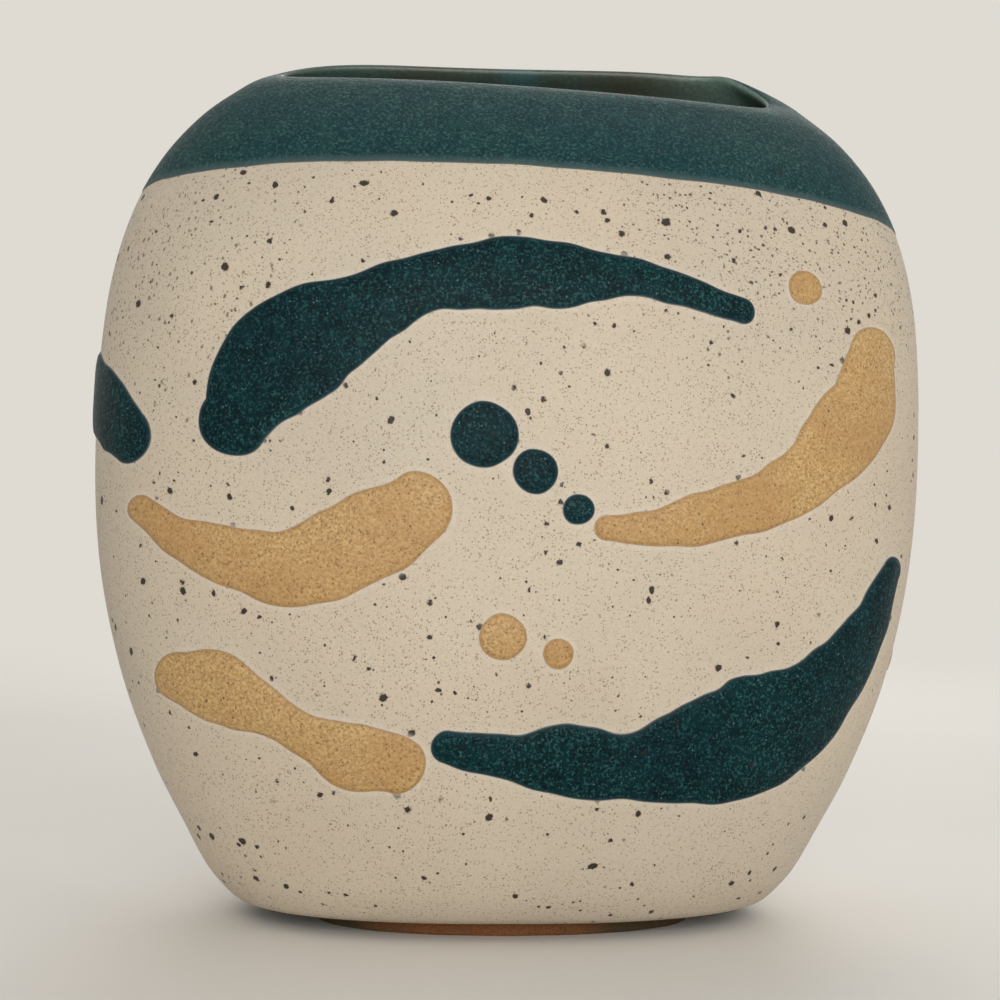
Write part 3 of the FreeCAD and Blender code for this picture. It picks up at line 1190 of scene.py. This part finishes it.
@dataclass(frozen=True)
class Drops:
    """Round drops of one glaze on one side: place across, place up and radius of each, as shares."""

    node: str
    colour: GlazeColour
    facing: float
    spots: tuple[Triple, ...]
    relief: float = 0.7 * MM
    nudge: float = 0.06
    reach: float = 0.95
    along_count: int = 72
    cap_count: int = 30

    def trail(self, spot: Triple) -> Trail:
        """The very short trail that makes one drop.

        Args:
            spot: Place across, place up and radius.

        Returns:
            The trail.
        """
        x, z, radius = spot
        reach = radius * self.reach
        stations = tuple((x + side * radius * self.nudge, z, reach, reach) for side in (-1, 1))
        counts = {"along_count": self.along_count, "cap_count": self.cap_count}
        return Trail(self.node, self.colour, self.facing, stations, self.relief, **counts)


@dataclass
class PouredMarks:
    """The thick pours and drops of glaze that stand proud of the cream."""

    form: PotForm
    materials: dict[GlazeColour, Material]
    film: float = 0.45 * MM
    film_height: float = 0.05 * MM
    shoulder_width: float = 0.8 * MM
    dome_width: float = 4.5 * MM
    dome_share: float = 0.55
    show: float = 0.75
    sunk: float = 0.45 * MM
    left_scallop: float = 0.3 * MM
    right_scallop: float = 0.34 * MM
    slim_below: float = 5 * MM
    swell_level: float = 0.12
    swell_rate: float = 190
    path_steps: int = 400
    edges: list[Array] = field(default_factory=list)

    trails: tuple[Trail, ...] = (
        Trail("pour_teal_arch", GlazeColour.TEAL, 0, (
            (-0.66, 0.548, 0.070, 0.080), (-0.60, 0.590, 0.115, 0.105), (-0.50, 0.634, 0.110, 0.120),
            (-0.38, 0.667, 0.070, 0.085), (-0.25, 0.690, 0.065, 0.060), (-0.11, 0.706, 0.070, 0.080),
            (0.03, 0.712, 0.055, 0.085), (0.17, 0.707, 0.040, 0.045), (0.31, 0.694, 0.032, 0.030),
            (0.44, 0.676, 0.026, 0.026))),
        Trail("pour_ochre_arch", GlazeColour.OCHRE, 0, (
            (-0.86, 0.452, 0.028, 0.028), (-0.77, 0.424, 0.040, 0.038), (-0.67, 0.408, 0.055, 0.062),
            (-0.56, 0.403, 0.060, 0.090), (-0.45, 0.412, 0.080, 0.095), (-0.35, 0.432, 0.095, 0.085),
            (-0.27, 0.458, 0.075, 0.070))),
        Trail("pour_ochre_crescent", GlazeColour.OCHRE, 0, (
            (0.79, 0.640, 0.060, 0.070), (0.76, 0.588, 0.085, 0.095), (0.69, 0.540, 0.080, 0.100),
            (0.60, 0.502, 0.060, 0.080), (0.49, 0.474, 0.055, 0.060), (0.37, 0.455, 0.045, 0.065),
            (0.25, 0.445, 0.034, 0.036), (0.14, 0.444, 0.026, 0.026))),
        Trail("pour_teal_crescent", GlazeColour.TEAL, 0, (
            (0.86, 0.405, 0.030, 0.030), (0.80, 0.350, 0.055, 0.060), (0.72, 0.298, 0.085, 0.080),
            (0.61, 0.252, 0.110, 0.115), (0.48, 0.219, 0.120, 0.150), (0.34, 0.203, 0.090, 0.120),
            (0.20, 0.197, 0.070, 0.075), (0.06, 0.199, 0.060, 0.085), (-0.07, 0.206, 0.042, 0.050),
            (-0.19, 0.217, 0.030, 0.030))),
        Trail("pour_ochre_wave", GlazeColour.OCHRE, 0, (
            (-0.76, 0.276, 0.060, 0.055), (-0.68, 0.268, 0.075, 0.070), (-0.58, 0.248, 0.050, 0.050),
            (-0.48, 0.222, 0.045, 0.040), (-0.39, 0.204, 0.070, 0.065), (-0.30, 0.200, 0.060, 0.065))),
        Trail("pour_teal_left_side", GlazeColour.TEAL, -80, (
            (-0.34, 0.604, 0.035, 0.035), (-0.22, 0.600, 0.065, 0.070), (-0.08, 0.584, 0.085, 0.090),
            (0.05, 0.556, 0.075, 0.080), (0.13, 0.530, 0.055, 0.055))),
        Trail("pour_ochre_right_side", GlazeColour.OCHRE, 80, (
            (0.06, 0.300, 0.035, 0.035), (0.20, 0.318, 0.060, 0.055), (0.36, 0.346, 0.070, 0.065),
            (0.48, 0.362, 0.060, 0.060))),
        Trail("pour_teal_back", GlazeColour.TEAL, 180, (
            (-0.66, 0.520, 0.060, 0.065), (-0.56, 0.548, 0.100, 0.095), (-0.42, 0.572, 0.105, 0.115),
            (-0.26, 0.582, 0.070, 0.080), (-0.10, 0.578, 0.060, 0.075), (0.06, 0.562, 0.050, 0.050),
            (0.20, 0.540, 0.035, 0.035), (0.32, 0.518, 0.028, 0.028))),
        Trail("pour_ochre_back", GlazeColour.OCHRE, 180, (
            (-0.34, 0.328, 0.030, 0.030), (-0.20, 0.343, 0.050, 0.050), (-0.05, 0.352, 0.060, 0.075),
            (0.11, 0.349, 0.085, 0.090), (0.27, 0.334, 0.080, 0.070), (0.42, 0.306, 0.060, 0.060),
            (0.56, 0.276, 0.050, 0.050))),
    )
    drops: tuple[Drops, ...] = (
        Drops("drops_teal", GlazeColour.TEAL, 0, ((-0.13, 0.535, 0.068), (-0.02, 0.500, 0.044), (0.075, 0.462, 0.030))),
        Drops("drops_ochre", GlazeColour.OCHRE, 0, ((-0.08, 0.330, 0.046), (0.04, 0.315, 0.028), (0.60, 0.708, 0.038))),
        Drops("drops_teal_back", GlazeColour.TEAL, 180, ((0.34, 0.440, 0.048), (0.46, 0.412, 0.032))),
    )

    def smooth_path(self, trail: Trail) -> Array:
        """Smooth line through a trail's stations.

        Args:
            trail: The trail.

        Returns:
            Rows in metres at even steps from the first station to the last.
        """
        sizes = np.array([self.form.half_width, self.form.height, self.form.half_width, self.form.half_width])
        stations = np.array(trail.stations) * sizes
        count = len(stations)
        where = np.linspace(0, count - 1, self.path_steps)
        index = np.clip(where.astype(int), 0, count - 2)
        start, end = stations[index], stations[index + 1]
        first = (end - stations[np.maximum(index - 1, 0)]) / 2
        last = (stations[np.minimum(index + 2, count - 1)] - start) / 2
        return curve((where - index)[:, None], start, end, first, last)

    @staticmethod
    def new_lens(name: str, trail: Trail) -> Piece:
        """Closed flat block of two thin sheets, to be laid along a trail.

        Args:
            name: Name of the piece.
            trail: The trail, for its face counts.

        Returns:
            The block, 2 by 2 across and 1 thick.
        """
        bpy.ops.object.select_all(action="DESELECT")
        counts = {"x_subdivisions": trail.along_count, "y_subdivisions": trail.side_count}
        bpy.ops.mesh.primitive_grid_add(size=2, **counts)
        lens = bpy.context.object
        lens.name = lens.data.name = name
        thicken(lens, 1.0)
        return lens

    def spread(self, trail: Trail, flat: Array, seed: int) -> tuple[Array, Array, Array, Array]:
        """Spreads a block's points over the outline of a trail, with rounded ends and scalloped sides.

        Args:
            trail: The trail.
            flat: Points of the block.
            seed: Number that sets its scallops.

        Returns:
            Place across, height, distance to the outline and swell of the glaze for each point.
        """
        path = self.smooth_path(trail)
        length = np.concatenate([[0], np.cumsum(np.hypot(np.diff(path[:, 0]), np.diff(path[:, 1])))])
        first_cap, last_cap = ((path[end, 2] + path[end, 3]) / 2 + self.film for end in (0, -1))
        count, cap_count = trail.along_count, trail.cap_count
        column = np.round((flat[:, 0] + 1) / 2 * count)
        first_turn = np.clip(column / cap_count, 0, 1) * math.pi / 2
        last_turn = np.clip((count - column) / cap_count, 0, 1) * math.pi / 2
        middle = np.clip((column - cap_count) / (count - 2 * cap_count), 0, 1) * length[-1]
        where = middle - first_cap * np.cos(first_turn) + last_cap * np.cos(last_turn)
        held = np.clip(where, 0, length[-1])
        x, z, left, right = (np.interp(held, length, path[:, row]) for row in range(4))
        heading = np.unwrap(np.arctan2(np.gradient(path[:, 1]), np.gradient(path[:, 0])))
        heading = np.interp(held, length, heading)
        beyond = where - held
        cap = np.where(beyond < 0, first_cap, last_cap)
        narrow = np.sqrt(np.clip(1 - (beyond / cap) ** 2, 0.0004, 1))
        left, right = left + self.film, right + self.film
        slim = np.clip(np.minimum(left, right) / self.slim_below, 0.25, 1)
        left_waves = waves(where, ((230, seed, 1.0), (463, 2 * seed, 0.6), (811, seed, 0.2)))
        right_waves = waves(where, ((263, 3 * seed, 1.0), (521, seed, 0.6), (907, 0, 0.2)))
        left = (left + self.left_scallop * left_waves * slim) * narrow
        right = (right + self.right_scallop * right_waves * slim) * narrow
        side = np.sin(flat[:, 1] * math.pi / 2)
        reach = np.where(side > 0, left, right)
        x = x + np.cos(heading) * beyond - np.sin(heading) * side * reach
        z = z + np.sin(heading) * beyond + np.cos(heading) * side * reach
        edge = (1 - np.hypot(beyond / cap, side * narrow)) * reach / np.maximum(narrow, 0.2)
        swell = np.sin(where * self.swell_rate + seed) * np.cos(side * 2 + seed)
        swell = 1 - self.swell_level + self.swell_level * swell
        return x, z, np.maximum(edge, 0), swell

    def build_trail(self, name: str, trail: Trail) -> Piece:
        """Models one pour as a low closed lens that lies on the cream.

        Args:
            name: Name of the piece.
            trail: Its course.

        Returns:
            The pour.
        """
        pour = self.new_lens(name, trail)
        flat = points_of(pour)
        x, z, edge, swell = self.spread(trail, flat, sum(ord(letter) for letter in name))
        inner = np.clip((edge - self.film) / self.shoulder_width, 0, 1)
        dome = np.clip((edge - self.film) / self.dome_width, 0, 1)
        profile = (1 - self.dome_share) * np.sqrt(1 - (1 - inner) ** 2) + self.dome_share * np.sin(dome * math.pi / 2)
        height = self.film_height * np.clip(edge / self.film, 0, 1) + trail.relief * self.show * swell * profile
        points, normal = self.form.settle(x, z, trail.facing)
        top = flat[:, 2] > -0.5
        set_points(pour, points + normal * np.where(top, height, -self.sunk)[:, None])
        set_field(pour, "edge", edge / MM)
        self.edges.append(points[top & (np.abs(np.abs(flat[:, 1]) - 1) < 1e-4)])
        face_out(pour)
        return pour

    def build(self) -> None:
        """Builds and dresses every mark."""
        for trail in self.trails:
            pour = self.build_trail(trail.node.replace("pour_", "poured_"), trail)
            seat(pour, self.materials[trail.colour], trail.colour.value + "_glaze", trail.node)
        for drops in self.drops:
            names = [drops.node + "_bead_" + str(number) for number in range(1, len(drops.spots) + 1)]
            beads = [self.build_trail(name, drops.trail(spot)) for name, spot in zip(names, drops.spots)]
            pick_only(beads[0])
            for bead in beads:
                bead.select_set(True)
            bpy.ops.object.join()
            beads[0].name = beads[0].data.name = drops.node + "_beads"
            seat(beads[0], self.materials[drops.colour], drops.colour.value + "_glaze", drops.node)


@dataclass
class Studio:
    """Pale floor, soft lamps and the camera at the photograph's angle."""

    target: Triple = (-2.8 * MM, 0.0, 103.75 * MM)
    distance: float = 406 * MM
    azimuth: float = -7.16
    elevation: float = -2.08
    roll: float = 1.37
    lens: float = 59.17
    shift: tuple[float, float] = (0.0006, -0.0142)
    pale: Colour = linear(223, 219, 211)
    world: Colour = linear(234, 232, 229)
    world_level: float = 0.38
    floor_colours: tuple[Colour, Colour] = (linear(240, 238, 233), linear(236, 234, 229))
    floor_size: float = 12.0
    floor_roughness: float = 0.7
    fade: tuple[float, float] = (0.3, 1.1)
    sensor: float = 36.0
    near_clip: float = 0.01
    lamp_aim: Triple = (0, 0, 0.1)
    lamp_colour: Triple = (1.0, 0.975, 0.94)
    lamps: tuple[tuple[str, Triple, float, float], ...] = (
        ("key lamp", (0.0, -1.35, 0.42), 0.9, 10.5),
        ("left lamp", (-1.1, -0.8, 0.6), 1.0, 0.7),
        ("right lamp", (1.1, -0.8, 0.6), 1.0, 2.2),
        ("top lamp", (0.2, 0.4, 1.5), 1.4, 4.5),
        ("back lamp", (0.3, 1.35, 0.7), 1.1, 6.5),
    )

    def build_floor(self) -> None:
        """Lays a wide pale floor under the vase that fades into the background away from it."""
        bpy.ops.object.select_all(action="DESELECT")
        bpy.ops.mesh.primitive_plane_add(size=self.floor_size, location=(0, 0, 0))
        floor = bpy.context.object
        floor.name = "studio_floor"
        material = bpy.data.materials.new("studio floor")
        material.use_nodes = True
        sketch = NodeSketch(material.node_tree)
        shader = material.node_tree.nodes["Principled BSDF"]
        cloud = sketch.ramp(sketch.noise(sketch.place(), 3.0), 0.3, 0.7)
        sketch.feed(shader.inputs["Base Color"], sketch.mix(cloud, *self.floor_colours))
        shader.inputs["Roughness"].default_value = self.floor_roughness
        away = sketch.add("VectorMath", {0: sketch.place()}, operation="LENGTH").outputs["Value"]
        seen = sketch.add("LightPath").outputs["Is Camera Ray"]
        fade = sketch.math("MULTIPLY", sketch.ramp(away, *self.fade), seen)
        glow = sketch.add("Emission", {"Color": self.pale, "Strength": 1.0})
        mixed = sketch.add("MixShader", {0: fade, 1: shader.outputs[0], 2: glow.outputs[0]})
        sketch.feed(material.node_tree.nodes["Material Output"].inputs["Surface"], mixed.outputs[0])
        floor.data.materials.append(material)

    def build_lamps(self) -> None:
        """Hangs large soft lamps and lights the world evenly behind a pale background."""
        for name, place, size, power in self.lamps:
            data = bpy.data.lights.new(name, "AREA")
            data.size, data.energy, data.color = size, power, self.lamp_colour
            lamp = bpy.data.objects.new(name, data)
            lamp.location = place
            lamp.rotation_euler = (Vector(self.lamp_aim) - Vector(place)).to_track_quat("-Z", "Y").to_euler()
            bpy.context.collection.objects.link(lamp)
        world = bpy.data.worlds.new("studio world")
        world.use_nodes = True
        sketch = NodeSketch(world.node_tree)
        light = world.node_tree.nodes["Background"]
        light.inputs["Color"].default_value = self.world
        light.inputs["Strength"].default_value = self.world_level
        pale = sketch.add("Background", {"Color": self.pale, "Strength": 1.0})
        path = sketch.add("LightPath")
        seen = sketch.math("MAXIMUM", path.outputs["Is Camera Ray"], path.outputs["Is Glossy Ray"])
        seen = sketch.math("MAXIMUM", seen, path.outputs["Is Transmission Ray"])
        mixed = sketch.add("MixShader", {0: seen, 1: light.outputs[0], 2: pale.outputs[0]})
        sketch.feed(world.node_tree.nodes["World Output"].inputs["Surface"], mixed.outputs[0])
        bpy.context.scene.world = world

    def build_camera(self) -> None:
        """Sets the camera where the photograph was taken from."""
        azimuth, elevation, roll = (math.radians(value) for value in (self.azimuth, self.elevation, self.roll))
        level = math.cos(elevation)
        away = Vector((math.sin(azimuth) * level, -math.cos(azimuth) * level, math.sin(elevation)))
        right = Vector((0, 0, 1)).cross(away).normalized()
        up = away.cross(right)
        turned_right = right * math.cos(roll) + up * math.sin(roll)
        turned_up = up * math.cos(roll) - right * math.sin(roll)
        data = bpy.data.cameras.new("photograph view")
        data.lens = self.lens
        data.sensor_width = self.sensor
        data.shift_x, data.shift_y = self.shift
        data.clip_start = self.near_clip
        camera = bpy.data.objects.new("photograph view", data)
        turn = Matrix((turned_right, turned_up, away)).transposed().to_4x4()
        camera.matrix_world = Matrix.Translation(Vector(self.target) + away * self.distance) @ turn
        bpy.context.collection.objects.link(camera)
        bpy.context.scene.camera = camera

    def build(self) -> None:
        """Builds the studio."""
        self.build_floor()
        self.build_lamps()
        self.build_camera()
        bpy.context.scene.view_settings.view_transform = "Standard"


def main() -> None:
    """Builds the vase and its studio in order."""
    logging.basicConfig(level=logging.INFO, format="%(name)s %(message)s", stream=sys.stdout)
    effects = SharedEffects()
    form = PotForm()
    body = ClayBody(form, BareClay(effects).make())
    body.dress_frame()
    body.build_foot()
    pours = {GlazeColour.TEAL: TealGlaze(effects).make(), GlazeColour.OCHRE: OchreGlaze(effects).make()}
    marks = PouredMarks(form, pours)
    marks.build()
    finishes = (CreamGlaze(effects), CollarGlaze(effects), InnerGlaze(effects))
    coats = GlazedBody(form, *(finish.make() for finish in finishes))
    coats.build(np.concatenate(marks.edges))
    Studio().build()


if __name__ == "__main__":
    main()
